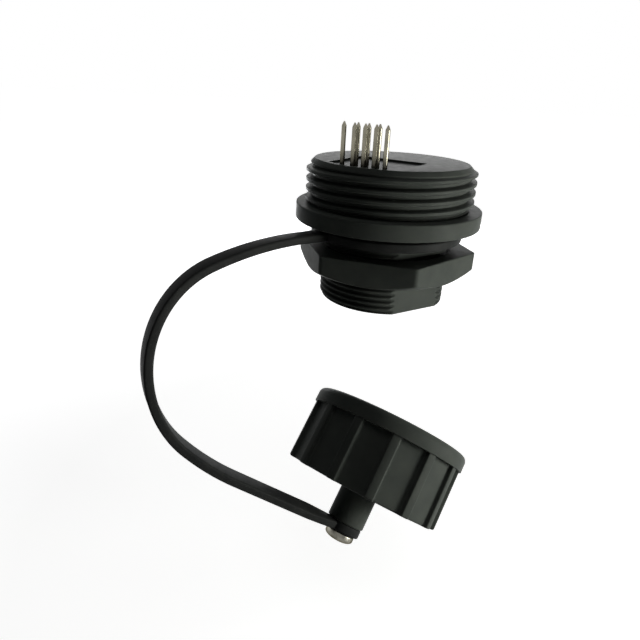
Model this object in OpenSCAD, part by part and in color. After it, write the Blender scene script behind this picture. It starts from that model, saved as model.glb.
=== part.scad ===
// Waterproof panel socket with a USB-A port, printed-circuit tails, hex nut and tethered dust cap.
// The port axis is Z. The panel seat, the underside of the flange, lies at z = 0.
// The mating barrel points down and the solder tails point up.

/* [Housing] */
// Diameter of the round flange
flange_d = 34.4; // [32.5:0.1:40]
// Thickness of the flange
flange_t = 2.9; // [2:0.1:4]
// Height of the rear face above the panel seat
rear_face_z = 10.8; // [10:0.1:16]
// Outside diameter of the coarse rear thread
rear_thread_d = 31; // [30.4:0.1:32]
// Pitch of the rear thread
rear_pitch = 1.7; // [1.2:0.05:2]
// Depth of the rear thread
rear_thread_depth = 0.55; // [0.3:0.05:0.7]
// Width of the flat crest of the rear thread
rear_crest = 0.66; // [0.4:0.02:0.8]
// Diameter of the plain lead above the rear thread
lead_d = 29.4; // [29:0.1:30]
// Height of the plain lead above the rear thread
lead_h = 0.9; // [0.8:0.1:2.4]
// Chamfer round the rear face
rear_chamfer = 0.7; // [0.2:0.1:0.8]
// Diameter of the threaded mating barrel
barrel_d = 24; // [23:0.1:25]
// Length of the mating barrel below the panel seat
barrel_l = 14.8; // [14:0.1:20]
// Chamfer at the mouth end of the barrel
barrel_chamfer = 0.35; // [0.1:0.05:0.8]
// Depth of the flat that keeps the barrel from turning in its panel
flat_depth = 1.5; // [0.6:0.1:1.6]
// Compass angle that the flat faces
flat_turn = -58; // [-180:1:180]
// Diameter of the round mouth inside the barrel
mouth_d = 18.4; // [17:0.1:19]
// Depth of the round mouth
mouth_depth = 9.8; // [8:0.1:11]

/* [Port] */
// Compass angle of the port's long side and of the tail rows
row_turn = -31; // [-90:1:90]
// Inside width of the port shell
port_w = 12.5; // [12:0.1:13]
// Inside height of the port shell
port_h = 5.12; // [4.8:0.02:5.4]
// Wall of the port shell
shell_wall = 0.3; // [0.2:0.05:0.4]
// Length of the port shell
shell_l = 13; // [12:0.1:14]
// Set-back of the port shell from the barrel's mouth
shell_setback = 4.8; // [4.4:0.1:6]
// Radius of the port's inner corners
port_corner = 0.4; // [0.2:0.05:0.6]
// Width of each spring finger cut in the shell's long sides
finger_w = 1.9; // [1.4:0.1:2.4]
// Length of each spring finger
finger_l = 4.6; // [3:0.1:6]
// Width of the slit round a spring finger
finger_slit = 0.35; // [0.2:0.05:0.5]
// Distance of the spring fingers from the middle of the port
finger_at = 3.1; // [2.6:0.1:3.6]
// Set-back of the spring fingers from the shell's front edge
finger_setback = 1; // [0.6:0.1:2]
// Width of the port's tongue
tongue_w = 11.1; // [10.6:0.1:11.6]
// Thickness of the port's tongue
tongue_t = 1.84; // [1.6:0.02:2]
// Offset of the tongue from the middle of the port
tongue_offset = -0.7; // [-1:0.05:0]
// Set-back of the tongue's tip inside the shell
tongue_setback = 0.5; // [0.2:0.1:1]
// Thickness of the insulator behind the tongue
base_t = 1.8; // [1.2:0.1:2.4]
// Width of the flat ring that seals the shell to the mouth's floor
port_seal_w = 1.2; // [0.8:0.1:1.4]
// Thickness of the flat ring that seals the shell to the mouth's floor
port_seal_t = 0.8; // [0.5:0.1:1.2]

/* [Contacts] */
// Diameter of a round solder tail
tail_d = 0.8; // [0.6:0.05:0.9]
// Length of the tails above the rear face
tail_l = 6.6; // [4:0.1:9]
// Length of the point on each tail
tail_point = 0.7; // [0.3:0.1:1.2]
// Spacing of the tails along a row
tail_pitch = 2; // [1.9:0.05:2.1]
// Distance of the five-tail row from the port axis
row_offset = 11.3; // [10.5:0.1:11.6]
// Distance between the two rows of tails
row_gap = 1.6; // [1.4:0.1:2.2]
// Extra gap after the first tail of the four-tail row
power_gap = 0.7; // [0:0.1:0.8]
// Place of the second tail of the four-tail row along the port's long side
short_row_at = -2.2; // [-2.4:0.1:-1.8]
// Place of the two inner spring contacts either side of the middle
spring_inner_at = 1; // [0.9:0.05:1.1]
// Place of the two outer spring contacts either side of the middle
spring_outer_at = 3.5; // [3.3:0.05:3.7]
// Width of a contact strip
strip_w = 0.5; // [0.4:0.05:0.6]
// Thickness of a contact strip
strip_t = 0.25; // [0.2:0.05:0.3]
// Half-width of the tail carrier seen in the rear face
carrier_half_w = 6.6; // [6.3:0.1:7]
// Place of the tail carrier's straight back edge behind the port axis
carrier_back = 0.6; // [0.5:0.1:2]
// Radius of the tail carrier's round front edge
carrier_r = 13.2; // [12.6:0.1:13.4]
// Set-back of the tail carrier below the rear face
carrier_recess = 0.4; // [0.2:0.1:0.8]

/* [Nut and seal] */
// Width of the nut across its flats
nut_af = 29.6; // [28:0.1:32]
// Height of the nut
nut_h = 4.6; // [4:0.1:5.4]
// Drop of the nut's upper face below the panel seat
nut_drop = 4.5; // [4:0.1:5.6]
// Compass angle of one corner of the nut
nut_turn = 44; // [0:1:60]
// Cord diameter of the ring seal under the flange
seal_cord = 1; // [0.8:0.05:1.05]

/* [Tether] */
// Outside diameter of the tether's ring
ring_d = 28.4; // [27.6:0.1:30]
// Thickness of the tether's ring
ring_t = 1.6; // [1.2:0.1:1.8]
// Drop of the ring's upper face below the panel seat
ring_drop = 1.1; // [1.1:0.1:1.4]
// Width of the strap
strap_w = 3.3; // [2.8:0.1:4]
// Thickness of the strap
strap_t = 1.5; // [1.2:0.1:1.55]
// Compass angle of the strap, from straight left towards the front
strap_turn = 32.3; // [0:0.1:60]
// Lean of the strap's loop out of the upright
strap_lean = 17.5; // [0:0.1:30]
// Length of the straight stretch beside the ring
root_l = 4.5; // [4.4:0.1:8]
// Length of the upper bend
upper_l = 18; // [14:0.1:24]
// Angle of the upper bend
upper_turn = 16.7; // [8:0.1:30]
// Length of the main bend
main_l = 34.5; // [28:0.1:40]
// Angle of the main bend
main_turn = 110.8; // [96:0.1:122]
// Length of the lower bend
lower_l = 11.1; // [8:0.1:20]
// Angle of the lower bend
lower_turn = 13.1; // [4:0.1:24]
// Length of the straight stretch before the eyelet
end_l = 25.7; // [20:0.1:30]
// Roll of the strap about its own line at the end of the upper bend
upper_roll = 19; // [0:1:30]
// Roll of the strap about its own line at the end of the main bend
main_roll = -18; // [-30:1:20]
// Roll of the strap about its own line before the twist beside the eyelet
end_roll = -21; // [-30:1:20]
// Length of the twist beside the eyelet
twist_l = 9; // [6:0.5:16]
// Diameter of the eyelet
eyelet_d = 6.8; // [6.2:0.1:8]
// Thickness of the eyelet
eyelet_t = 1.7; // [1.6:0.1:2.2]

/* [Cap] */
// Diameter of the smooth rim at the cap's mouth
rim_d = 31.2; // [31.1:0.1:33]
// Height of the smooth rim
rim_h = 3; // [2:0.1:4]
// Diameter across the cap's ribs
cap_d = 30.6; // [29:0.1:31]
// Height of the cap without its post
cap_h = 14.7; // [13:0.1:18]
// Number of ribs round the cap
rib_count = 13; // [9:1:16]
// Width of a rib along its outer edge
rib_w = 1.7; // [1.2:0.1:2.6]
// Draft that widens each side of a rib towards its foot
rib_draft = 0.25; // [0.1:0.05:0.4]
// Depth of the flat panels between the ribs
panel_depth = 1.05; // [0.6:0.05:1.3]
// Compass angle of one rib about the cap's own axis
rib_turn = 15; // [-30:1:30]
// Depth of the cap's threaded inside
cap_depth = 11.4; // [9:0.1:12]
// Diameter of the post that carries the eyelet
post_d = 7.2; // [6:0.1:8]
// Length of the post
post_l = 6.3; // [4:0.1:7]
// Thickness of the flat ring seal inside the cap
cap_seal_t = 1.2; // [0.8:0.1:1.6]
// Radial width of the flat ring seal inside the cap
cap_seal_w = 3; // [2:0.1:4]

/* [Screw] */
// Diameter of the screw's shank
screw_d = 3; // [2.5:0.1:3.5]
// Length of the screw's shank
screw_l = 7.4; // [6:0.1:8.5]
// Diameter of the domed screw head
head_d = 5.6; // [5:0.1:7]
// Height of the domed screw head
head_h = 1.8; // [1.6:0.1:2.6]
// Height of the rounded shoulder of the head
dome_h = 1; // [0.6:0.1:1.4]
// Depth of the cross recess in the head
cross_depth = 1; // [0.6:0.1:1.4]
// Width of the cross recess in the head
cross_w = 0.8; // [0.6:0.1:1]
// Span of the cross recess in the head
cross_span = 3; // [2.4:0.1:3.4]

/* [Clearances] */
// Radial clearance of the nut and cap threads
thread_clear = 0.06; // [0.03:0.01:0.1]
// Radial clearance of the tether's ring round the barrel
ring_clear = 0.3; // [0.2:0.05:0.4]
// Radial clearance of the screw in the eyelet
eyelet_clear = 0.08; // [0.03:0.01:0.1]
// Clearance between faces that seat on each other across a joint
seat_clear = 0.05; // [0.03:0.01:0.1]
// Clearance round pieces that are pressed or moulded in
fit_clear = 0.03; // [0.02:0.01:0.05]

/* [Hidden] */
$fn = 96;
SS_COUNT = 5;
USB2_COUNT = 4;
SS_NAMES = [for (i = [1 : SS_COUNT]) str("contact_ss_", i)];
USB2_NAMES = [for (i = [1 : USB2_COUNT]) str("contact_usb2_", i)];
MAIN_NAMES = ["housing", "flange_seal", "panel_nut", "tether_strap", "dust_cap", "cap_seal", "cap_screw",
    "usb_shell", "usb_tongue", "port_seal", "tail_carrier"];

BLACK = [0.055, 0.057, 0.062];
RUBBER = [0.03, 0.03, 0.032];
METAL = [0.72, 0.69, 0.62];
STEEL = [0.74, 0.75, 0.76];
TONGUE = [0.06, 0.2, 0.52];
over = 1;

// Levels along the port axis
mouth_z = -barrel_l;
mouth_floor_z = mouth_z + mouth_depth;
shell_front_z = mouth_z + shell_setback;
shell_back_z = shell_front_z + shell_l;
cavity_z = shell_back_z + fit_clear;
carrier_z = rear_face_z - carrier_recess;
tip_z = shell_front_z + tongue_setback;
base_z = shell_back_z - base_t;
thread_top_z = rear_face_z - lead_h;
ring_mid_z = -ring_drop - ring_t / 2;

// Small edges
flange_edge = 0.25;
nut_lip = 0.4;
cap_edge = 0.3;
cap_lip = 0.9;

// Outline of the body of revolution, from the rear face down to the mouth
rear_r = rear_thread_d / 2;
root_r = rear_r - rear_thread_depth;
flank = (rear_pitch - rear_crest) / 3;
crest_count = floor((thread_top_z - flange_t - rear_crest) / rear_pitch) + 1;
crest_tops = [for (k = [0 : crest_count - 1]) thread_top_z - flank - k * rear_pitch];
function crest_points(top) = [[rear_r, top], [rear_r, max(top - rear_crest, flange_t)],
    [root_r, max(top - rear_crest - flank, flange_t)],
    [root_r, max(top - rear_pitch + flank, flange_t)]];
thread_points = [for (top = crest_tops) each crest_points(top)];
housing_points = concat(
    [[0, rear_face_z], [lead_d / 2 - rear_chamfer, rear_face_z], [lead_d / 2, rear_face_z - rear_chamfer]],
    [[lead_d / 2, thread_top_z]], thread_points,
    [[root_r, flange_t], [flange_d / 2 - flange_edge, flange_t], [flange_d / 2, flange_t - flange_edge]],
    [[flange_d / 2, flange_edge], [flange_d / 2 - flange_edge, 0], [barrel_d / 2, 0]],
    [[barrel_d / 2, mouth_z + barrel_chamfer], [barrel_d / 2 - barrel_chamfer, mouth_z], [0, mouth_z]]);

// The strap's line: runs of a length and a turn, in the plane of the loop
strap_runs = [[root_l, 0], [upper_l, upper_turn], [main_l, main_turn], [lower_l, lower_turn], [end_l, 0]];
strap_start = [ring_d / 2 - (ring_d - barrel_d) / 4, 0];
station_gap = 2;
function heading(i) = i == 0 ? 0 : heading(i - 1) + strap_runs[i - 1][1];
function length_before(i) = i == 0 ? 0 : length_before(i - 1) + strap_runs[i - 1][0];
function along_run(p, h, run, f) = run[1] == 0
    ? p + f * run[0] * [cos(h), -sin(h)]
    : p + run[0] / (run[1] * PI / 180) * [sin(h + f * run[1]) - sin(h), cos(h + f * run[1]) - cos(h)];
function run_start(i) = i == 0
    ? strap_start
    : along_run(run_start(i - 1), heading(i - 1), strap_runs[i - 1], 1);
function run_steps(i) = ceil(strap_runs[i][0] / station_gap);
strap_l = length_before(len(strap_runs));
strap_rolls = [[root_l, strap_lean], [length_before(2), upper_roll], [length_before(3), main_roll],
    [strap_l - twist_l, end_roll], [strap_l, 0]];
function roll_at(s) = lookup(s, strap_rolls);
// Each station holds its place in the loop's plane, its heading and its roll
stations = concat([for (i = [0 : len(strap_runs) - 1], k = [0 : run_steps(i) - 1])
        let (f = k / run_steps(i))
        [along_run(run_start(i), heading(i), strap_runs[i], f), heading(i) + f * strap_runs[i][1],
            roll_at(length_before(i) + f * strap_runs[i][0])]],
    [[run_start(len(strap_runs)), heading(len(strap_runs)), roll_at(strap_l)]]);
function station_point(st, u, v) = let (n = [sin(st[1]), 0, cos(st[1])], m = [0, 1, 0], r = st[2])
    [st[0][0], 0, st[0][1]] + u * (cos(r) * n + sin(r) * m) + v * (cos(r) * m - sin(r) * n);
strap_end = run_start(len(strap_runs));
strap_end_heading = heading(len(strap_runs));

// Rounded shoulder of the screw head, from its side to its flat top
top_r = head_d / 4;
dome_points = [for (a = [0 : 15 : 90])
    [top_r + (head_d / 2 - top_r) * cos(a), dome_h * (1 - sin(a)) - head_h]];

// Rows of tails, as places along the port's long side
function ss_at(i) = (i - (SS_COUNT - 1) / 2) * tail_pitch;
SPRING_AT = [-spring_outer_at, -spring_inner_at, spring_inner_at, spring_outer_at];
function usb2_tail_at(i) = short_row_at + (i - 1) * tail_pitch - (i == 0 ? power_gap : 0);
ss_face = tongue_offset - tongue_t / 2;
usb2_face = tongue_offset + tongue_t / 2;
jog_gap = 1.6;
jog_ss_z = cavity_z + jog_gap;
jog_usb2_z = jog_ss_z + jog_gap;
ss_pad_l = 2.2;
ss_tip_gap = 0.3;
usb2_tip_gap = 3.4;
bump_r = 0.55;
bump_gap = 1.6;

// Frames
module row_frame() { rotate([0, 0, row_turn]) children(); }
module loop_frame() {
    translate([0, 0, ring_mid_z]) rotate([0, 0, 180 + strap_turn]) rotate([strap_lean, 0, 0]) children();
}
module eyelet_frame() {
    loop_frame() translate([strap_end[0], 0, strap_end[1]]) rotate([0, strap_end_heading, 0])
        rotate([180, 0, 0]) children();
}
// Origin at the outside of the cap's closed end, with the cap's mouth towards +Z
module cap_frame() {
    eyelet_frame() translate([0, 0, eyelet_t / 2 + seat_clear + post_l]) rotate([0, 0, rib_turn]) children();
}

// Shapes that repeat
module bar(low, high, grow) {
    translate(low - [grow, grow, grow]) cube(high - low + 2 * [grow, grow, grow]);
}
module round_rect(w, h, r) {
    square([w - 2 * r, h], center = true);
    square([w, h - 2 * r], center = true);
    for (x = [-1, 1], y = [-1, 1]) translate([x * (w / 2 - r), y * (h / 2 - r)]) circle(r, $fn = 32);
}
module shell_outline(grow) {
    out = shell_wall + grow;
    round_rect(port_w + 2 * out, port_h + 2 * out, port_corner + out);
}
module carrier_outline(grow) {
    intersection() {
        circle(carrier_r + grow);
        translate([-carrier_half_w - grow, -carrier_r - over])
            square([2 * (carrier_half_w + grow), carrier_r + over + carrier_back + grow]);
    }
}
// A round tail that stands on its contact strip and ends in a point
module tail(x, y, z, grow) {
    top = rear_face_z + tail_l;
    translate([x, y, z]) cylinder(d = tail_d + 2 * grow, h = top - tail_point - z, $fn = 24);
    if (grow == 0)
        translate([x, y, top - tail_point]) cylinder(d1 = tail_d, d2 = tail_d / 4, h = tail_point, $fn = 24);
}

// Contacts, with the pocket that each needs when grow is above zero
module ss_contact(i, grow) {
    x = ss_at(i);
    w = strip_w / 2;
    pad_end = tip_z + ss_tip_gap + ss_pad_l;
    bar([x - w, usb2_face - strip_t, tip_z + ss_tip_gap], [x + w, usb2_face, pad_end], grow);
    bar([x - w, ss_face, pad_end - strip_t], [x + w, usb2_face, pad_end], grow);
    bar([x - w, ss_face, pad_end - strip_t], [x + w, ss_face + strip_t, jog_ss_z + strip_t], grow);
    bar([x - w, -row_offset - w, jog_ss_z], [x + w, ss_face + strip_t, jog_ss_z + strip_t], grow);
    tail(x, -row_offset, jog_ss_z, grow);
}
module usb2_contact(i, grow) {
    x = SPRING_AT[i];
    t = usb2_tail_at(i);
    y = -row_offset + row_gap;
    w = strip_w / 2;
    start = tip_z + usb2_tip_gap;
    bar([x - w, usb2_face - strip_t, start], [x + w, usb2_face, jog_usb2_z + strip_t], grow);
    bar([x - w, y - w, jog_usb2_z], [x + w, usb2_face, jog_usb2_z + strip_t], grow);
    bar([min(x, t) - w, y - w, jog_usb2_z], [max(x, t) + w, y + w, jog_usb2_z + strip_t], grow);
    tail(t, y, jog_usb2_z, grow);
    if (grow == 0) translate([x - w, usb2_face - strip_t, start + bump_gap]) bump();
}
// The raised bend of a spring contact
module bump() {
    intersection() {
        rotate([0, 90, 0]) cylinder(r = bump_r, h = strip_w, $fn = 32);
        translate([-over, 0, -bump_r]) cube([strip_w + 2 * over, bump_r, 2 * bump_r]);
    }
}
module contact_pockets() {
    for (i = [0 : SS_COUNT - 1]) ss_contact(i, fit_clear);
    for (i = [0 : USB2_COUNT - 1]) usb2_contact(i, fit_clear);
}

// Sub-parts
module housing() {
    color(BLACK) difference() {
        rotate_extrude() polygon(housing_points);
        rotate([0, 0, flat_turn]) translate([barrel_d / 2 - flat_depth, -barrel_d, mouth_z - over])
            cube([barrel_d, 2 * barrel_d, barrel_l + over]);
        translate([0, 0, mouth_z - over]) cylinder(d = mouth_d, h = mouth_depth + over);
        row_frame() {
            translate([0, 0, mouth_floor_z - over])
                linear_extrude(cavity_z - mouth_floor_z + over) shell_outline(fit_clear);
            translate([0, 0, cavity_z])
                linear_extrude(rear_face_z - cavity_z + over) carrier_outline(fit_clear);
        }
    }
}
module flange_seal() {
    cord_mid = seal_cord / 2 + seat_clear;
    color(RUBBER) rotate_extrude() translate([barrel_d / 2 + cord_mid, -cord_mid])
        circle(d = seal_cord, $fn = 32);
}
module panel_nut() {
    corner = nut_af / 2 / cos(30);
    chamfer = (corner - nut_af / 2) * tan(30);
    bore_r = barrel_d / 2 + thread_clear;
    color(BLACK) translate([0, 0, -nut_drop - nut_h]) difference() {
        intersection() {
            rotate([0, 0, nut_turn]) cylinder(r = corner, h = nut_h, $fn = 6);
            rotate_extrude() polygon(concat([[0, 0], [nut_af / 2, 0], [corner, chamfer]],
                [[corner + over, chamfer + over], [corner + over, nut_h + over], [0, nut_h + over]]));
        }
        translate([0, 0, -over]) cylinder(r = bore_r, h = nut_h + 2 * over);
        for (end = [0, 1]) translate([0, 0, end * nut_h]) mirror([0, 0, end])
            translate([0, 0, -nut_lip]) cylinder(r1 = bore_r + 2 * nut_lip, r2 = bore_r, h = 2 * nut_lip);
    }
}
module strap_band() {
    last = len(stations) - 1;
    points = [for (st = stations) each [station_point(st, -strap_t / 2, -strap_w / 2),
        station_point(st, strap_t / 2, -strap_w / 2), station_point(st, strap_t / 2, strap_w / 2),
        station_point(st, -strap_t / 2, strap_w / 2)]];
    sides = [for (k = [0 : last - 1], c = [0 : 3]) let (a = 4 * k + c, b = 4 * k + (c + 1) % 4)
        each [[a, b, b + 4], [a, b + 4, a + 4]]];
    polyhedron(points, concat([[3, 2, 1, 0], [for (c = [0 : 3]) 4 * last + c]], sides));
}
module tether_strap() {
    color(BLACK) difference() {
        union() {
            translate([0, 0, -ring_drop - ring_t]) cylinder(d = ring_d, h = ring_t);
            loop_frame() strap_band();
            eyelet_frame() cylinder(d = eyelet_d, h = eyelet_t, center = true);
        }
        translate([0, 0, -ring_drop - ring_t - over])
            cylinder(d = barrel_d + 2 * ring_clear, h = ring_t + 2 * over);
        eyelet_frame()
            cylinder(d = screw_d + 2 * eyelet_clear, h = eyelet_t + 2 * over, center = true, $fn = 48);
    }
}
// What is cut away between two ribs, seen along the cap's axis
module panel_cut() {
    half_w = (PI * cap_d / rib_count - rib_w) / 2;
    edge_x = sqrt(pow(cap_d / 2, 2) - pow(half_w, 2));
    foot_x = cap_d / 2 - panel_depth;
    reach = (cap_d / 2 + over - foot_x) / (edge_x - foot_x);
    foot = half_w - rib_draft;
    out = foot + reach * rib_draft;
    polygon([[foot_x, -foot], [cap_d / 2 + over, -out], [cap_d / 2 + over, out], [foot_x, foot]]);
}
module dust_cap() {
    rim_z = cap_h - rim_h;
    rim_mid_z = cap_h - rim_h / 2;
    color(BLACK) cap_frame() difference() {
        union() {
            difference() {
                rotate_extrude() polygon(concat([[0, 0], [cap_d / 2 - cap_edge, 0], [cap_d / 2, cap_edge]],
                    [[cap_d / 2, rim_mid_z], [0, rim_mid_z]]));
                for (i = [1 : rib_count]) rotate([0, 0, (i - 1 / 2) * 360 / rib_count])
                    translate([0, 0, -over]) linear_extrude(rim_mid_z + 2 * over) panel_cut();
            }
            rotate_extrude() polygon(concat([[0, rim_z], [rim_d / 2, rim_z], [rim_d / 2, cap_h - cap_lip]],
                [[rim_d / 2 - cap_lip / 3, cap_h - cap_lip / 3], [rim_d / 2 - cap_lip, cap_h], [0, cap_h]]));
            translate([0, 0, -post_l]) cylinder(d = post_d, h = post_l + over);
        }
        translate([0, 0, cap_h - cap_depth]) cylinder(r = barrel_d / 2 + thread_clear, h = cap_depth + over);
        translate([0, 0, -post_l - over])
            cylinder(d = screw_d + 2 * fit_clear, h = screw_l - eyelet_t + 2 * over, $fn = 48);
    }
}
module cap_seal() {
    outer = barrel_d / 2 - fit_clear;
    color(RUBBER) cap_frame() translate([0, 0, cap_h - cap_depth]) difference() {
        cylinder(r = outer, h = cap_seal_t);
        translate([0, 0, -over]) cylinder(r = outer - cap_seal_w, h = cap_seal_t + 2 * over);
    }
}
module cap_screw() {
    color(STEEL) eyelet_frame() translate([0, 0, -eyelet_t / 2 - seat_clear]) difference() {
        union() {
            cylinder(d = screw_d, h = screw_l, $fn = 48);
            rotate_extrude() polygon(concat([[0, 0], [head_d / 2, 0]], dome_points, [[0, -head_h]]));
        }
        for (turn = [45, 135]) rotate([0, 0, turn]) translate([-cross_span / 2, -cross_w / 2, -head_h - over])
            cube([cross_span, cross_w, cross_depth + over]);
    }
}
// Two long slits and a cross slit that free a spring finger at its front end
module finger_slits() {
    for (x = [-finger_w - finger_slit, finger_w + finger_slit] / 2)
        translate([x - finger_slit / 2, -over / 2, 0]) cube([finger_slit, over, finger_l]);
    translate([-finger_w / 2 - finger_slit, -over / 2, 0])
        cube([finger_w + 2 * finger_slit, over, finger_slit]);
}
module usb_shell() {
    color(STEEL) row_frame() difference() {
        translate([0, 0, shell_front_z]) linear_extrude(shell_l) difference() {
            shell_outline(0);
            round_rect(port_w, port_h, port_corner);
        }
        for (side = [-1, 1], x = [-finger_at, finger_at])
            translate([x, side * (port_h + shell_wall) / 2, shell_front_z + finger_setback]) finger_slits();
    }
}
module usb_tongue() {
    base_gap = 2 * fit_clear;
    color(TONGUE) row_frame() difference() {
        union() {
            translate([-tongue_w / 2, tongue_offset - tongue_t / 2, tip_z])
                cube([tongue_w, tongue_t, base_z - tip_z + over]);
            translate([0, 0, base_z]) linear_extrude(base_t)
                round_rect(port_w - base_gap, port_h - base_gap, port_corner);
        }
        contact_pockets();
    }
}
module port_seal() {
    color(RUBBER) row_frame() translate([0, 0, mouth_floor_z - port_seal_t])
        linear_extrude(port_seal_t) difference() {
            shell_outline(port_seal_w);
            shell_outline(fit_clear);
        }
}
module tail_carrier() {
    color(BLACK) row_frame() difference() {
        translate([0, 0, cavity_z]) linear_extrude(carrier_z - cavity_z) carrier_outline(0);
        contact_pockets();
    }
}
module contact_ss(i) {
    color(METAL) row_frame() ss_contact(i, 0);
}
module contact_usb2(i) {
    color(METAL) row_frame() usb2_contact(i, 0);
}

housing();
flange_seal();
panel_nut();
tether_strap();
dust_cap();
cap_seal();
cap_screw();
usb_shell();
usb_tongue();
port_seal();
tail_carrier();
for (i = [0 : SS_COUNT - 1]) contact_ss(i);
for (i = [0 : USB2_COUNT - 1]) contact_usb2(i);
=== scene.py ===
import math

import bmesh
import bpy
from mathutils import Matrix, Vector


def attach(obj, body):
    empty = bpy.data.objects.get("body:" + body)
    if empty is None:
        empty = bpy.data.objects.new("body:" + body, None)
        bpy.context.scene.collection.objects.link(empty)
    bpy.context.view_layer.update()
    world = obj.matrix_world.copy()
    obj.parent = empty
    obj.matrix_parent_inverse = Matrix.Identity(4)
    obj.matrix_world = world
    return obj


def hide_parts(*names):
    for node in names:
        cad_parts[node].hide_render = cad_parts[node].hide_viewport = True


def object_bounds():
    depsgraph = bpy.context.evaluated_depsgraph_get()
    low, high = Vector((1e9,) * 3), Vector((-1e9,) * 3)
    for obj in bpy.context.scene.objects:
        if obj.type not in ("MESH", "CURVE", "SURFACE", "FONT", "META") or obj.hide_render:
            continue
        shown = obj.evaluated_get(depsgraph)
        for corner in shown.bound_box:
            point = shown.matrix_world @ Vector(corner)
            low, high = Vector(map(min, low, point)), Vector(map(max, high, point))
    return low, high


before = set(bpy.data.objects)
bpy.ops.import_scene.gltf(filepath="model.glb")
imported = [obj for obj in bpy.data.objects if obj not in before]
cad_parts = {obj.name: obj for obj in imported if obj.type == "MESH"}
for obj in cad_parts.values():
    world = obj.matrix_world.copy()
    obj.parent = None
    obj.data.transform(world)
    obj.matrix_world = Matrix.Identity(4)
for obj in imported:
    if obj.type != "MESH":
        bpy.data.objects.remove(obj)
cad_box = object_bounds()

# Lengths are in millimetres and angles in degrees until a mesh, a lamp or a node takes them
MM = 0.001

# Meshes: points this close are one, edges sharper than this stay sharp, a rounding takes at most this
# share of a side, and a cutter passes the surface that it cuts by this much
MERGE = 0.0001
SHARP_ANGLE = 35
ROUND_SHARE = 0.45
OVERCUT = 1

# Threads: crest and root are shares of the pitch, and rows is the number of mesh rows in one pitch
REAR_THREAD = dict(crest_r=15.5, root_r=14.4, pitch=1.7, crest=0.26, root=0.24, start=7.925, rows=16)
FRONT_THREAD = dict(crest_r=12.0, root_r=11.5, pitch=1.06, crest=1 / 6, root=1 / 6, start=-10.34, rows=12)
NUT_THREAD = dict(crest_r=12.06, root_r=12.5, pitch=1.06, crest=0.25, root=0.25, start=-7.0, rows=8)
CAP_THREAD = dict(crest_r=12.06, root_r=12.5, pitch=1.06, crest=0.25, root=0.25, start=10.0, rows=8)

# Housing: flange, rear thread and its lead
FLANGE_R = 17.2
FLANGE_T = 2.9
FLANGE_EDGE = 0.25
REAR_Z = 10.8
REAR_EDGE_R = 14.0
REAR_EDGE = 0.12
LEAD_R = 14.7
LEAD_CHAMFER = 0.7
REAR_THREAD_TOP = 9.95
RUNOUT = 0.4

# Housing: front barrel with one flat, and its mouth
BARREL_R = 12.0
BARREL_END_Z = -14.8
BARREL_CHAMFER = 0.35
FLAT_R = 10.5
FLAT_TURN = -58
FLAT_LEAST_COS = 0.5
MOUTH_R = 9.2
MOUTH_LIP = 0.6
MOUTH_EDGE = 0.2
MOUTH_FLOOR_Z = -5.0

# Housing: pocket of the tail carrier, and the port's hole as width, height and corner radius
CAVITY_Z = 3.03
ROW_TURN = -31
CARRIER_HALF_W = 6.63
CARRIER_BACK = 0.63
CARRIER_R = 13.23
CARRIER_ARC_STEPS = 24
SHELL_HOLE = (13.16, 5.78, 0.73)

# Housing: mesh columns, and the finer ones to both sides of the flat's middle
HOUSING_COLUMNS = 240
FINE_FROM = 20
FINE_STEP = 0.5
FINE_COUNT = 19

# Nut
NUT_TOP_Z = -4.5
NUT_BOTTOM_Z = -9.1
NUT_TURN = 44
NUT_APOTHEM = 14.8
NUT_CORNER_R = 16.95
NUT_FACE_R = 14.6
NUT_CHAMFER = 30
NUT_LEAST_RISE = 0.05
NUT_EDGE = 0.22
NUT_LIP = 0.4
NUT_THREAD_INSET = 0.3
NUT_COLUMNS = 480

# Tether: ring, band of bent runs and eyelet; a run is (length, turn), a roll is (length so far, angle)
RING_TOP_Z = -1.1
RING_T = 1.6
RING_R = 14.2
RING_HOLE_R = 12.3
WASHER_EDGE = 0.3
WASHER_COLUMNS = 180
STRAP_W = 3.3
STRAP_T = 1.5
STRAP_EDGE = 0.38
STRAP_EDGE_STEPS = 4
STRAP_TURN = 32.3
STRAP_LEAN = 17.5
STRAP_START = 13.1
STRAP_ROOT_L = 4.5
STRAP_RUNS = ((STRAP_ROOT_L, 0), (18.0, 16.7), (34.5, 110.8), (11.1, 13.1), (25.7, 0))
STRAP_ROLLS = ((0, STRAP_LEAN), (STRAP_ROOT_L, STRAP_LEAN), (22.5, 19), (57.0, -18), (84.8, -21), (93.8, 0))
STRAP_STEP = 0.8
EYELET_R = 3.4
EYELET_PILOT_R = 0.6
EYELET_HOLE_R = 1.58
EYELET_HOLE_COLUMNS = 48
EYELET_T = 1.7
SEAT_GAP = 0.05

# Dust cap: ribbed side, rim, inside and post
CAP_R = 15.3
CAP_H = 14.7
CAP_EDGE = 0.45
RIB_COUNT = 13
RIB_W = 1.7
RIB_DRAFT = 0.25
RIB_TURN = 15
RIB_EDGE = 0.25
RIB_EDGE_STEPS = 4
PANEL_DEPTH = 1.05
PANEL_STEPS = 7
RIM_R = 15.6
RIM_H = 3.0
RIM_STEP = 0.1
RIM_EDGE = 0.3
CAP_LIP = 0.9
CAP_BORE_LIP = 0.5
CAP_FLOOR_Z = 3.3
CAP_FLOOR_RISE = 1.2
CAP_FLOOR_EDGE = 0.2
CAP_THREAD_ABOVE_FLOOR = 1.4
CAP_THREAD_BELOW_RIM = 0.4
POST_R = 3.6
POST_L = 6.3
POST_FOOT = 1.5
POST_EDGE = 0.3
SCREW_HOLE_R = 1.53
SCREW_HOLE_END = -0.4

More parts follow.
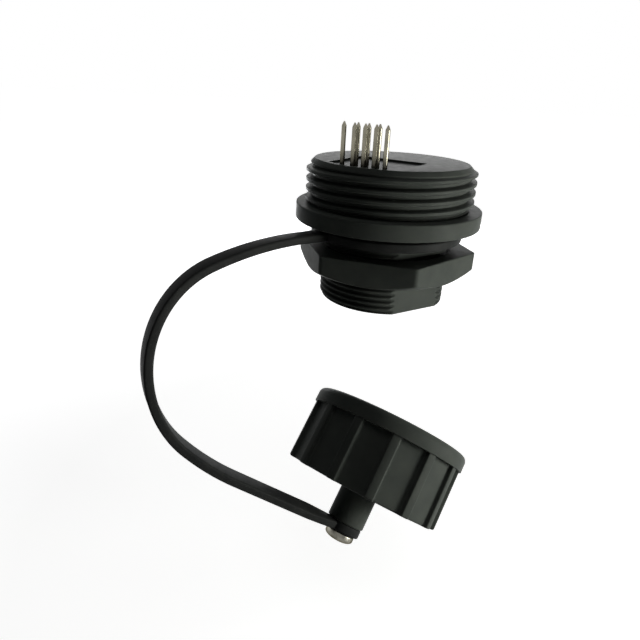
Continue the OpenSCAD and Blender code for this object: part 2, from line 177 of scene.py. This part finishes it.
# Screw: shank, domed head and tapering cross recess
SCREW_R = 1.5
SCREW_L = 7.4
SCREW_COLUMNS = 72
SCREW_EDGE = 0.35
SCREW_HEAD_R = 2.8
SCREW_HEAD_H = 1.8
DOME_H = 1.0
DOME_POWER = 0.8
DOME_END = 84
DOME_STEPS = 12
CROSS_TURNS = (45, 135)
CROSS_W = 0.8
CROSS_SPAN = 3.0
CROSS_DEPTH = 1.0
CROSS_OVERCUT = 0.2
CROSS_TAPER = 0.45
CROSS_EDGE = 0.15
CROSS_EDGE_STEPS = 3

# Finishes: scales are noise cells per metre, and a noise's usual span runs from the first tint or
# roughness to the last; stretch draws the streaks out along Z
NOISE_SPAN = (0.3, 0.7)
PLASTIC_TINT_SCALE = 260
PLASTIC_GLOSS_SCALE = 900
PLASTIC_GRAIN_SCALE = 5200
PLASTIC_GRAIN_DETAIL = 4
PLASTIC_BUMP = 0.6
MATTE_SPECULAR = 0.012
GRAIN_DEPTH = 0.006
METAL_TINT_SCALE = 420
METAL_STREAK_SCALE = 2400
METAL_BUMP = 0.5
METAL_EDGE_TINT = (0.4, 0.38, 0.32)
DRAWN = (1, 1, 0.06)
EVEN = (1, 1, 1)
# Painted shade on the tails near the rear face: its colour, and the span from the face over which it gives
# way to the plating
ROOT_SHADE = (0.055, 0.052, 0.042)
ROOT_SHADE_SPAN = (0.3, 2.8)

# The record's material slots and their finishes
PLASTICS = {
    "moulded_plastic": dict(
        name="moulded_black", tints=((0.050, 0.056, 0.051), (0.062, 0.068, 0.061)),
        rough=(0.36, 0.44), specular=MATTE_SPECULAR, depth=GRAIN_DEPTH),
    # The strap's black is darker than the moulded black: partly its own colour, partly painted shade
    "strap_plastic": dict(
        name="strap_black", tints=((0.018, 0.019, 0.019), (0.026, 0.027, 0.026)),
        rough=(0.38, 0.46), specular=MATTE_SPECULAR, depth=GRAIN_DEPTH),
    "carrier_plastic": dict(
        name="carrier_black", tints=((0.040, 0.043, 0.043), (0.052, 0.055, 0.054)),
        rough=(0.36, 0.44), specular=MATTE_SPECULAR, depth=GRAIN_DEPTH),
    "seal_rubber": dict(
        name="seal_rubber", tints=((0.048, 0.052, 0.049), (0.060, 0.064, 0.060)),
        rough=(0.4, 0.5), specular=MATTE_SPECULAR, depth=GRAIN_DEPTH),
    "tongue_plastic": dict(
        name="tongue_blue", tints=((0.012, 0.07, 0.33), (0.018, 0.09, 0.40)),
        rough=(0.3, 0.4), specular=0.4, depth=0.004),
}
METALS = {
    # The tails' plating is darker than the metal: partly its own champagne colour, partly painted dark
    # reflection, since glossy rays here see only white
    "contact_metal": dict(
        name="tail_plating", tints=((0.17, 0.16, 0.122), (0.26, 0.245, 0.192)),
        rough=(0.18, 0.32), stretch=DRAWN, depth=0.004),
    "shell_steel": dict(
        name="shell_steel", tints=((0.62, 0.63, 0.65), (0.72, 0.72, 0.74)),
        rough=(0.24, 0.4), stretch=DRAWN, depth=0.004),
    # The screw's blotches run from bright to near black: painted highlights and painted dark reflection on
    # the steel, since glossy rays here see only white
    "screw_steel": dict(
        name="screw_steel", tints=((0.36, 0.35, 0.3), (0.05, 0.047, 0.038)),
        rough=(0.24, 0.38), stretch=EVEN, depth=0.03),
}

# CAD nodes that stay, apart from the contacts, and the slots that they take their finish from
CARRIED = {
    "flange_seal": "seal_rubber",
    "cap_seal": "seal_rubber",
    "port_seal": "seal_rubber",
    "tail_carrier": "carrier_plastic",
    "usb_shell": "shell_steel",
    "usb_tongue": "tongue_plastic",
}

# Camera, floor and surround
CAMERA_AT = (-11.67, -103.07, 23.03)
CAMERA_PITCH = 66.605
CAMERA_ROLL = 2.794
CAMERA_LENS = 30.783
SENSOR_W = 36
CLIP_START = 5
FLOOR_GAP = 12
FLOOR_SIZE = 3000
FLOOR_COLOUR = (0.8, 0.8, 0.8)
FLOOR_ROUGHNESS = 0.9
# The floor's glow is weaker near the part: painted shade around it, in which the lamps' real shadow shows
FLOOR_GLOW = (0.78, 1.0)
FLOOR_GLOW_R = (75, 170)
WHITE = (1, 1, 1)
SURROUND_COLOUR = (0.7, 0.88, 1.0)
SURROUND_STRENGTH = 0.004

# Lamps: azimuth from +X, elevation and distance from the middle of the part, size, watts and colour
LAMPS = {
    "right_window": (-20, -3, 240, (100, 72), 0.6, (1.0, 1.0, 0.95)),
    "left_window": (160, 5, 380, (140, 120), 0.03, (0.9, 0.95, 1.0)),
    "back_window": (95, -4, 320, (320, 40), 0.26, (0.95, 0.98, 1.0)),
    "rear_strip": (83, 18, 263, (200, 50), 0.09, WHITE),
    "top_softbox": (-60, 75, 420, (240, 240), 0.18, WHITE),
}


def polar(radius, angle, z=0.0):
    turn = math.radians(angle)
    return (radius * math.cos(turn), radius * math.sin(turn), z)


def rotation(angle, axis):
    return Matrix.Rotation(math.radians(angle), 4, axis)


def steps_between(first, last, count):
    return [first + (last - first) * step / count for step in range(count + 1)]


def circle(radius, count, z=0.0):
    return [polar(radius, 360 * i / count, z) for i in range(count)]


def arc(radius, first, last, count):
    return [polar(radius, angle)[:2] for angle in steps_between(first, last, count)]


def round_rect(width, height, corner, count=6):
    outline = []
    for quarter, (side, end) in enumerate(((1, 1), (-1, 1), (-1, -1), (1, -1))):
        centre = (side * (width / 2 - corner), end * (height / 2 - corner))
        for x, y in arc(corner, 90 * quarter, 90 * quarter + 90, count):
            outline.append((centre[0] + x, centre[1] + y))
    return outline


def smoothstep(value):
    value = min(max(value, 0.0), 1.0)
    return value * value * (3 - 2 * value)


def between(table, key):
    """The value at key in a table of rising (key, value) pairs, on straight lines between them."""
    for (low, first), (high, last) in zip(table, table[1:]):
        if key <= high:
            return first + (last - first) * (key - low) / (high - low)
    return table[-1][1]


def rounded(points, radius, steps=3):
    """The open polyline with each inner corner replaced by a short curve."""
    result = [Vector(points[0])]
    for before, corner, after in zip(points, points[1:], points[2:]):
        corner = Vector(corner)
        back, on = Vector(before) - corner, Vector(after) - corner
        reach = min(radius, ROUND_SHARE * back.length, ROUND_SHARE * on.length)
        start, end = corner + back.normalized() * reach, corner + on.normalized() * reach
        for step in range(steps + 1):
            t = step / steps
            result.append((1 - t) ** 2 * start + 2 * t * (1 - t) * corner + t * t * end)
    result.append(Vector(points[-1]))
    return result


def thread_radius(thread, angle, z, height=1.0):
    """The radius of a right-hand thread at this angle and height along its axis."""
    phase = (z - thread["start"]) / thread["pitch"] - angle / 360
    away = abs(phase - round(phase))
    flank = 0.5 - thread["crest"] / 2 - thread["root"] / 2
    crest = 1 - smoothstep((away - thread["crest"] / 2) / flank)
    return thread["root_r"] + crest * height * (thread["crest_r"] - thread["root_r"])


def thread_column(thread, angle, low, high, radius=None):
    """Points up one column of a thread, from 0 to 360 degrees, on rows that follow its helix."""
    radius = radius or (lambda turn, z: thread_radius(thread, turn, z))
    step = thread["pitch"] / thread["rows"]
    lift = thread["start"] + thread["pitch"] * angle / 360
    first = math.floor((low - thread["start"] - thread["pitch"]) / step)
    last = math.ceil((high - thread["start"]) / step)
    heights = [min(max(lift + step * row, low), high) for row in range(first, last + 1)]
    return [(radius(angle, z), z) for z in heights]


def shade(mesh):
    mesh.polygons.foreach_set("use_smooth", [True] * len(mesh.polygons))
    mesh.set_sharp_from_angle(angle=math.radians(SHARP_ANGLE))


def mesh_object(name, points, faces, place):
    """A smooth-shaded mesh object from points in millimetres, moved by place."""
    mesh = bpy.data.meshes.new(name)
    mesh.from_pydata([(place @ Vector(point)) * MM for point in points], [], faces)
    build = bmesh.new()
    build.from_mesh(mesh)
    bmesh.ops.remove_doubles(build, verts=build.verts, dist=MERGE * MM)
    bmesh.ops.recalc_face_normals(build, faces=build.faces)
    build.to_mesh(mesh)
    build.free()
    shade(mesh)
    made = bpy.data.objects.new(name, mesh)
    bpy.context.scene.collection.objects.link(made)
    return made


def loft(name, rings, closed=False, place=Matrix()):
    """A closed solid through rings of equal count: its ends meet, or are closed by fans."""
    count = len(rings[0])
    points = [point for ring in rings for point in ring]
    pairs = list(zip(range(len(rings)), range(1, len(rings))))
    if closed:
        pairs.append((len(rings) - 1, 0))
    faces = [
        (low * count + i, low * count + (i + 1) % count, high * count + (i + 1) % count, high * count + i)
        for low, high in pairs
        for i in range(count)
    ]
    if not closed:
        for end in (0, len(rings) - 1):
            middle = len(points)
            points.append(sum((Vector(point) for point in rings[end]), Vector()) / count)
            faces += [(middle, end * count + i, end * count + (i + 1) % count) for i in range(count)]
    return mesh_object(name, points, faces, place)


def turned(name, columns, place=Matrix()):
    """A closed solid from one profile per angle, side by side, of which the last repeats the first."""
    count = len(columns[0])
    points = [point for column in columns for point in column]
    faces = [
        (i * count + k, (i + 1) * count + k, (i + 1) * count + k + 1, i * count + k + 1)
        for i in range(len(columns) - 1)
        for k in range(count - 1)
    ]
    return mesh_object(name, points, faces, place)


def prism(name, outline, low, high, place):
    return loft(name, [[(x, y, z) for x, y in outline] for z in (low, high)], place=place)


def washer(name, outer, hole, low, high, place=Matrix()):
    middle = (outer + hole) / 2
    corners = [(middle, low), (outer, low), (outer, high), (hole, high), (hole, low), (middle, low)]
    profile = rounded(corners, WASHER_EDGE)[:-1]
    return loft(name, [circle(radius, WASHER_COLUMNS, z) for radius, z in profile], closed=True, place=place)


def combine(target, other, operation):
    """Joins other to target, or cuts it away, and drops other."""
    modifier = target.modifiers.new("combine", "BOOLEAN")
    modifier.operation = operation
    modifier.object = other
    modifier.solver = "MANIFOLD"
    bpy.context.view_layer.update()
    shaped = target.evaluated_get(bpy.context.evaluated_depsgraph_get())
    mesh = bpy.data.meshes.new_from_object(shaped)
    target.modifiers.clear()
    target.data = mesh
    shade(mesh)
    bpy.data.objects.remove(other)


def carrier_outline():
    reach = math.degrees(math.asin(CARRIER_HALF_W / CARRIER_R))
    return [
        (CARRIER_HALF_W, CARRIER_BACK),
        (-CARRIER_HALF_W, CARRIER_BACK),
        *arc(CARRIER_R, 270 - reach, 270 + reach, CARRIER_ARC_STEPS),
    ]


def housing_angles():
    """Even columns, with finer ones where the barrel's thread meets its flat."""
    even = [360 * i / HOUSING_COLUMNS for i in range(HOUSING_COLUMNS)]
    fine = [FLAT_TURN + side * (FINE_FROM + FINE_STEP * i) for side in (-1, 1) for i in range(FINE_COUNT)]
    return sorted({round(angle % 360, 3) for angle in even + fine}) + [360]


def flat_limit(angle):
    """The radius at which a ray at this angle meets the barrel's flat."""
    swing = math.cos(math.radians(angle - FLAT_TURN))
    return FLAT_R / swing if swing > FLAT_LEAST_COS else math.inf


def rear_radius(angle, z):
    """The rear thread, which fades out towards the flange and into the plain lead."""
    rise = smoothstep((REAR_THREAD_TOP - z) / RUNOUT)
    height = rise * smoothstep((z - FLANGE_T) / RUNOUT)
    radius = thread_radius(REAR_THREAD, angle, z, height)
    return radius - (1 - rise) * (REAR_THREAD["root_r"] - LEAD_R)


def front_radius(angle, z):
    """The barrel's thread, cut by the chamfer at its end and by the flat."""
    height = 1 - smoothstep((z - BARREL_END_Z) / BARREL_CHAMFER)
    radius = thread_radius(FRONT_THREAD, angle, z)
    return min(radius, BARREL_R - height * BARREL_CHAMFER, flat_limit(angle))


def make_housing():
    rear = rounded([
        (0, REAR_Z), (REAR_EDGE_R, REAR_Z), (LEAD_R, REAR_Z - LEAD_CHAMFER), (LEAD_R, REAR_THREAD_TOP),
    ], REAR_EDGE)
    flange = rounded([
        (REAR_THREAD["root_r"], FLANGE_T), (FLANGE_R, FLANGE_T), (FLANGE_R, 0), (BARREL_R, 0),
    ], FLANGE_EDGE)
    mouth = rounded([
        (MOUTH_R + MOUTH_LIP, BARREL_END_Z), (MOUTH_R, BARREL_END_Z),
        (MOUTH_R, MOUTH_FLOOR_Z), (0, MOUTH_FLOOR_Z),
    ], MOUTH_EDGE)
    columns = []
    for angle in housing_angles():
        rear_thread = thread_column(REAR_THREAD, angle, FLANGE_T, REAR_THREAD_TOP, rear_radius)
        front_thread = thread_column(FRONT_THREAD, angle, BARREL_END_Z, 0, front_radius)
        profile = [*rear, *reversed(rear_thread), *flange, *reversed(front_thread), *mouth]
        columns.append([polar(radius, angle, z) for radius, z in profile])
    made = turned("housing_moulding", columns)
    row = rotation(ROW_TURN, "Z")
    pocket = prism("pocket", carrier_outline(), CAVITY_Z, REAR_Z + OVERCUT, row)
    combine(made, pocket, "DIFFERENCE")
    hole = prism("port_hole", round_rect(*SHELL_HOLE), MOUTH_FLOOR_Z - OVERCUT, CAVITY_Z + OVERCUT, row)
    combine(made, hole, "DIFFERENCE")
    return made


def nut_radius(angle):
    swing = (angle - NUT_TURN) % 60 - 30
    return min(NUT_APOTHEM / math.cos(math.radians(swing)), NUT_CORNER_R)


def make_nut():
    """Each column is the nut's outline at that angle, so its faces and chamfers stay exact."""
    bore = NUT_THREAD["crest_r"] + NUT_LIP
    low, high = NUT_BOTTOM_Z + NUT_THREAD_INSET, NUT_TOP_Z - NUT_THREAD_INSET
    columns = []
    for angle in steps_between(0, 360, NUT_COLUMNS):
        outer = nut_radius(angle)
        rise = max(NUT_LEAST_RISE, (outer - NUT_FACE_R) * math.tan(math.radians(NUT_CHAMFER)))
        profile = rounded([
            (bore, NUT_TOP_Z), (outer, NUT_TOP_Z), (outer, NUT_BOTTOM_Z + rise),
            (NUT_FACE_R, NUT_BOTTOM_Z), (bore, NUT_BOTTOM_Z),
        ], NUT_EDGE)
        profile += thread_column(NUT_THREAD, angle, low, high) + profile[:1]
        columns.append([polar(radius, angle, z) for radius, z in profile])
    return turned("nut_moulding", columns)


def strap_frame():
    middle = Matrix.Translation((0, 0, RING_TOP_Z - RING_T / 2))
    return middle @ rotation(180 + STRAP_TURN, "Z") @ rotation(STRAP_LEAN, "X")


def strap_stations():
    """Points along the band in its own plane, as (point, heading, length so far)."""
    point, heading, length = Vector((STRAP_START, 0, 0)), 0.0, 0.0
    stations = [(point.copy(), heading, length)]
    for run, turn in STRAP_RUNS:
        count = math.ceil(run / STRAP_STEP)
        for _ in range(count):
            middle = math.radians(heading + turn / count / 2)
            half = math.radians(turn / count / 2)
            chord = run / count * (math.sin(half) / half if half else 1)
            point = point + chord * Vector((math.cos(middle), 0, -math.sin(middle)))
            heading += turn / count
            length += run / count
            stations.append((point.copy(), heading, length))
    return stations


def strap_ring(station):
    """The band's outline at one station, rolled about the band's own line."""
    point, heading, length = station
    turn = math.radians(heading)
    normal, side = Vector((math.sin(turn), 0, math.cos(turn))), Vector((0, 1, 0))
    roll = math.radians(between(STRAP_ROLLS, length))
    thick = math.cos(roll) * normal + math.sin(roll) * side
    wide = math.cos(roll) * side - math.sin(roll) * normal
    outline = round_rect(STRAP_W, STRAP_T, STRAP_EDGE, STRAP_EDGE_STEPS)
    return [point + u * wide + v * thick for u, v in outline]


def eyelet_frame(stations):
    """The eyelet's place, with its Z axis along the screw and towards the cap."""
    end, heading, _ = stations[-1]
    turn = rotation(heading, "Y") @ rotation(180, "X")
    return strap_frame() @ Matrix.Translation(end) @ turn


def make_strap(stations):
    place, half = eyelet_frame(stations), EYELET_T / 2
    made = loft("strap_moulding", [strap_ring(station) for station in stations], place=strap_frame())
    combine(made, washer("strap_ring", RING_R, RING_HOLE_R, RING_TOP_Z - RING_T, RING_TOP_Z), "UNION")
    combine(made, washer("strap_eyelet", EYELET_R, EYELET_PILOT_R, -half, half, place), "UNION")
    hole = [point[:2] for point in circle(EYELET_HOLE_R, EYELET_HOLE_COLUMNS)]
    combine(made, prism("eyelet_hole", hole, -EYELET_T, EYELET_T, place), "DIFFERENCE")
    return made


def cap_outline():
    """Ribs and flat panels round the cap, seen along its axis."""
    sector = 360 / RIB_COUNT
    half = (2 * math.pi * CAP_R / RIB_COUNT - RIB_W) / 2
    crest_x = math.sqrt(CAP_R ** 2 - half ** 2)
    panel_x, foot = CAP_R - PANEL_DEPTH, half - RIB_DRAFT
    corners = [polar(CAP_R, sector / 2)[:2], (crest_x, half), (panel_x, foot), (panel_x, 0)]
    quarter = rounded(corners, RIB_EDGE, RIB_EDGE_STEPS)
    shares = steps_between(1, 0, PANEL_STEPS)[1:]
    quarter[-1:] = [Vector((panel_x, quarter[-2].y * share)) for share in shares]
    mirrored = [Vector((x, -y)) for x, y in reversed(quarter)][1:-1]
    outline = []
    for i in range(RIB_COUNT):
        turn = Matrix.Rotation(math.radians(-sector * (i + 0.5)), 2)
        outline += [turn @ point for point in quarter + mirrored]
    return outline


def cap_post():
    return rounded([
        (0, SCREW_HOLE_END), (SCREW_HOLE_R, SCREW_HOLE_END), (SCREW_HOLE_R, -POST_L),
        (POST_R, -POST_L), (POST_R, 0), (POST_R + POST_FOOT, 0),
    ], POST_EDGE)


def cap_rim(rim_z, bore):
    third = CAP_LIP / 3
    return rounded([
        (CAP_R + RIM_STEP, rim_z), (RIM_R, rim_z), (RIM_R, CAP_H - CAP_LIP),
        (RIM_R - third, CAP_H - third), (RIM_R - CAP_LIP, CAP_H), (bore + CAP_BORE_LIP, CAP_H),
    ], RIM_EDGE)


def make_cap(place):
    rim_z, bore = CAP_H - RIM_H, CAP_THREAD["crest_r"]
    low, high = CAP_FLOOR_Z + CAP_THREAD_ABOVE_FLOOR, CAP_H - CAP_THREAD_BELOW_RIM
    post, rim = cap_post(), cap_rim(rim_z, bore)
    edge = rounded([(1, 0), (0, 0), (0, 1)], CAP_EDGE)[1:-1]
    wall_foot = (bore, CAP_FLOOR_Z + CAP_FLOOR_RISE)
    floor = rounded([wall_foot, (bore, CAP_FLOOR_Z), (0, CAP_FLOOR_Z)], CAP_FLOOR_EDGE)
    outline = cap_outline()
    turns = [360, *(math.degrees(math.atan2(y, x)) % 360 for x, y in outline[1:]), 0]
    columns = []
    for point, angle in zip(outline + outline[:1], turns):
        reach = point.length
        side = [(reach - inset, z) for inset, z in edge] + [(reach, rim_z)]
        thread = thread_column(CAP_THREAD, angle, low, high)
        profile = [*post, *side, *rim, *reversed(thread), *floor]
        columns.append([polar(radius, angle, z) for radius, z in profile])
    return turned("cap_moulding", columns, place)


def screw_dome():
    dome = []
    for angle in steps_between(0, DOME_END, DOME_STEPS):
        turn = math.radians(angle)
        radius = SCREW_HEAD_R * math.cos(turn) ** DOME_POWER
        dome.append((radius, -SCREW_HEAD_H + DOME_H * (1 - math.sin(turn))))
    return dome


def cross_slot(place):
    """One arm of the cross recess, which narrows towards its bottom."""
    rings = []
    for z, share in ((-SCREW_HEAD_H - CROSS_OVERCUT, 1.0), (-SCREW_HEAD_H + CROSS_DEPTH, CROSS_TAPER)):
        outline = round_rect(CROSS_SPAN * share, CROSS_W * (share + 1) / 2, CROSS_EDGE, CROSS_EDGE_STEPS)
        rings.append([(x, y, z) for x, y in outline])
    return loft("cross", rings, place=place)


def make_screw(place):
    dome = screw_dome()
    under = rounded([(SCREW_R, SCREW_L), (SCREW_R, 0), (SCREW_HEAD_R, 0), dome[0]], SCREW_EDGE)
    rings = [circle(radius, SCREW_COLUMNS, z) for radius, z in under + dome[1:]]
    made = loft("screw_turning", rings, place=place)
    for turn in CROSS_TURNS:
        combine(made, cross_slot(place @ rotation(turn, "Z")), "DIFFERENCE")
    return made


def material(name, base, metallic=0.0, specular=0.5):
    made = bpy.data.materials.new(name)
    made.use_nodes = True
    tree = made.node_tree
    shader = tree.nodes["Principled BSDF"]
    shader.inputs["Base Color"].default_value = (*base, 1)
    shader.inputs["Metallic"].default_value = metallic
    shader.inputs["Specular IOR Level"].default_value = specular
    place = tree.nodes.new("ShaderNodeTexCoord").outputs["Object"]
    return made, tree, shader, place


def noise(tree, place, scale, detail=3.0, stretch=EVEN):
    """Noise with cells of the given number per metre."""
    mapping = tree.nodes.new("ShaderNodeMapping")
    mapping.inputs["Scale"].default_value = stretch
    tree.links.new(place, mapping.inputs["Vector"])
    made = tree.nodes.new("ShaderNodeTexNoise")
    made.inputs["Scale"].default_value = scale
    made.inputs["Detail"].default_value = detail
    tree.links.new(mapping.outputs["Vector"], made.inputs["Vector"])
    return made.outputs["Fac"]


def spread(tree, value, span, ends, easing="LINEAR"):
    """Maps a value's span onto the two ends."""
    made = tree.nodes.new("ShaderNodeMapRange")
    made.interpolation_type = easing
    for name, number in zip(("From Min", "From Max", "To Min", "To Max"), (*span, *ends)):
        made.inputs[name].default_value = number
    tree.links.new(value, made.inputs["Value"])
    return made.outputs["Result"]


def calculate(tree, operation, first, second=None):
    """A Math node's result for one socket, or for two."""
    made = tree.nodes.new("ShaderNodeMath")
    made.operation = operation
    tree.links.new(first, made.inputs[0])
    if second:
        tree.links.new(second, made.inputs[1])
    return made.outputs["Value"]


def mix_node(tree, factor, first):
    """A colour mix that starts from first, and whose other colour is still to be set."""
    made = tree.nodes.new("ShaderNodeMix")
    made.data_type = "RGBA"
    made.inputs["A"].default_value = (*first, 1)
    tree.links.new(factor, made.inputs["Factor"])
    return made


def tint(tree, value, ends, socket):
    mixed = mix_node(tree, spread(tree, value, NOISE_SPAN, (0, 1)), ends[0])
    mixed.inputs["B"].default_value = (*ends[1], 1)
    tree.links.new(mixed.outputs["Result"], socket)


def bump(tree, value, depth, shader, strength):
    made = tree.nodes.new("ShaderNodeBump")
    made.inputs["Strength"].default_value = strength
    made.inputs["Distance"].default_value = depth * MM
    tree.links.new(value, made.inputs["Height"])
    tree.links.new(made.outputs["Normal"], shader.inputs["Normal"])


def plastic(name, tints, rough, specular, depth):
    """Moulded plastic or rubber: cloudy in colour and gloss, with a fine grain."""
    made, tree, shader, place = material(name, tints[1], specular=specular)
    tint(tree, noise(tree, place, PLASTIC_TINT_SCALE), tints, shader.inputs["Base Color"])
    gloss = spread(tree, noise(tree, place, PLASTIC_GLOSS_SCALE), NOISE_SPAN, rough)
    tree.links.new(gloss, shader.inputs["Roughness"])
    grain = noise(tree, place, PLASTIC_GRAIN_SCALE, PLASTIC_GRAIN_DETAIL)
    bump(tree, grain, depth, shader, PLASTIC_BUMP)
    return made


def metal(name, tints, rough, stretch, depth):
    """Metal: blotchy in colour, with fine streaks in its gloss and surface."""
    made, tree, shader, place = material(name, tints[1], metallic=1.0)
    shader.inputs["Specular Tint"].default_value = (*METAL_EDGE_TINT, 1)
    streaks = noise(tree, place, METAL_STREAK_SCALE, stretch=stretch)
    tint(tree, noise(tree, place, METAL_TINT_SCALE), tints, shader.inputs["Base Color"])
    tree.links.new(spread(tree, streaks, NOISE_SPAN, rough), shader.inputs["Roughness"])
    bump(tree, streaks, depth, shader, METAL_BUMP)
    return made


def paint_root_shade(finish):
    """Painted shade on the tails where they leave the carrier, and nowhere else along the contacts: they are
    darker near the rear face.
    """
    tree = finish.node_tree
    colour = tree.nodes["Principled BSDF"].inputs["Base Color"]
    split = tree.nodes.new("ShaderNodeSeparateXYZ")
    tree.links.new(tree.nodes["Texture Coordinate"].outputs["Object"], split.inputs["Vector"])
    above = calculate(tree, "SUBTRACT", split.outputs["Z"])
    above.node.inputs[1].default_value = REAR_Z * MM
    away = calculate(tree, "ABSOLUTE", above)
    unshaded = spread(tree, away, [end * MM for end in ROOT_SHADE_SPAN], (0, 1), "SMOOTHSTEP")
    mixed = mix_node(tree, unshaded, ROOT_SHADE)
    tree.links.new(colour.links[0].from_socket, mixed.inputs["B"])
    tree.links.new(mixed.outputs["Result"], colour)


def make_finishes():
    made = {slot: plastic(**look) for slot, look in PLASTICS.items()}
    made.update({slot: metal(**look) for slot, look in METALS.items()})
    # Painted shade on the tails near the rear face
    paint_root_shade(made["contact_metal"])
    return made


def place_piece(piece, node, body, slot, finishes):
    piece.data.materials.clear()
    piece.data.materials.append(finishes[slot])
    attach(piece, body)
    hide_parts(node)


def set_cad_finishes(finishes):
    for name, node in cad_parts.items():
        slot = "contact_metal" if name.startswith("contact_") else CARRIED.get(name)
        if slot:
            for place in node.material_slots:
                place.material = finishes[slot]


def whitened(tree, plain, white):
    """Mixes in white for what the camera sees directly, mirrored or through something clear."""
    path = tree.nodes.new("ShaderNodeLightPath")
    seen = path.outputs["Is Camera Ray"]
    for ray in ("Is Glossy Ray", "Is Transmission Ray"):
        seen = calculate(tree, "MAXIMUM", seen, path.outputs[ray])
    mixed = tree.nodes.new("ShaderNodeMixShader")
    tree.links.new(seen, mixed.inputs["Fac"])
    tree.links.new(plain.outputs[0], mixed.inputs[1])
    tree.links.new(white.outputs[0], mixed.inputs[2])
    return mixed.outputs[0]


def make_world():
    world = bpy.data.worlds.new("studio")
    bpy.context.scene.world = world
    world.use_nodes = True
    tree = world.node_tree
    dim = tree.nodes["Background"]
    dim.inputs["Color"].default_value = (*SURROUND_COLOUR, 1)
    dim.inputs["Strength"].default_value = SURROUND_STRENGTH
    white = tree.nodes.new("ShaderNodeBackground")
    white.inputs["Color"].default_value = (*WHITE, 1)
    white.inputs["Strength"].default_value = 1.0
    tree.links.new(whitened(tree, dim, white), tree.nodes["World Output"].inputs["Surface"])


def floor_finish():
    """Pale, and white to the camera: a glow on top of the lamps' light, weaker near the part as painted
    shade around it.
    """
    finish, tree, shader, place = material("studio_floor", FLOOR_COLOUR, specular=0.0)
    shader.inputs["Roughness"].default_value = FLOOR_ROUGHNESS
    away = tree.nodes.new("ShaderNodeVectorMath")
    away.operation = "LENGTH"
    tree.links.new(place, away.inputs[0])
    fade = spread(tree, away.outputs["Value"], [radius * MM for radius in FLOOR_GLOW_R], FLOOR_GLOW)
    glow = tree.nodes.new("ShaderNodeEmission")
    glow.inputs["Color"].default_value = (*WHITE, 1)
    tree.links.new(fade, glow.inputs["Strength"])
    both = tree.nodes.new("ShaderNodeAddShader")
    tree.links.new(shader.outputs[0], both.inputs[0])
    tree.links.new(glow.outputs[0], both.inputs[1])
    tree.links.new(whitened(tree, shader, both), tree.nodes["Material Output"].inputs["Surface"])
    return finish


def make_floor():
    size = FLOOR_SIZE * MM
    mesh = bpy.data.meshes.new("studio_floor")
    corners = [(-size, -size, 0), (size, -size, 0), (size, size, 0), (-size, size, 0)]
    mesh.from_pydata(corners, [], [(0, 1, 2, 3)])
    mesh.materials.append(floor_finish())
    floor = bpy.data.objects.new("studio_floor", mesh)
    floor.location.z = cad_box[0].z - FLOOR_GAP * MM
    bpy.context.scene.collection.objects.link(floor)


def add_lamp(name, azimuth, elevation, distance, size, power, colour):
    """An area lamp aimed at the middle of the part."""
    lamp = bpy.data.lights.new(name, "AREA")
    lamp.shape = "RECTANGLE"
    lamp.size, lamp.size_y = size[0] * MM, size[1] * MM
    lamp.energy = power
    lamp.color = colour
    made = bpy.data.objects.new(name, lamp)
    middle = (cad_box[0] + cad_box[1]) / 2
    flat = math.cos(math.radians(elevation))
    aim = Vector((*polar(flat, azimuth)[:2], math.sin(math.radians(elevation))))
    made.location = middle + aim * distance * MM
    made.rotation_euler = aim.to_track_quat("Z", "Y").to_euler()
    bpy.context.scene.collection.objects.link(made)


def make_camera():
    lens = bpy.data.cameras.new("photo_camera")
    lens.lens = CAMERA_LENS
    lens.sensor_width = SENSOR_W
    lens.clip_start = CLIP_START * MM
    camera = bpy.data.objects.new("photo_camera", lens)
    place = Matrix.Translation(Vector(CAMERA_AT) * MM)
    camera.matrix_world = place @ rotation(CAMERA_PITCH, "X") @ rotation(CAMERA_ROLL, "Z")
    scene = bpy.context.scene
    scene.collection.objects.link(camera)
    scene.camera = camera
    scene.view_settings.view_transform = "Standard"


def make_pieces(finishes):
    stations = strap_stations()
    eyelet, half = eyelet_frame(stations), EYELET_T / 2
    cap = eyelet @ Matrix.Translation((0, 0, half + SEAT_GAP + POST_L)) @ rotation(RIB_TURN, "Z")
    screw = eyelet @ Matrix.Translation((0, 0, -half - SEAT_GAP))
    place_piece(make_housing(), "housing", "connector", "moulded_plastic", finishes)
    place_piece(make_nut(), "panel_nut", "nut", "moulded_plastic", finishes)
    place_piece(make_strap(stations), "tether_strap", "tether", "strap_plastic", finishes)
    place_piece(make_cap(cap), "dust_cap", "cap", "moulded_plastic", finishes)
    place_piece(make_screw(screw), "cap_screw", "cap", "screw_steel", finishes)


make_camera()
make_world()
make_floor()
for lamp_name, setting in LAMPS.items():
    add_lamp(lamp_name, *setting)
finishes = make_finishes()
set_cad_finishes(finishes)
make_pieces(finishes)
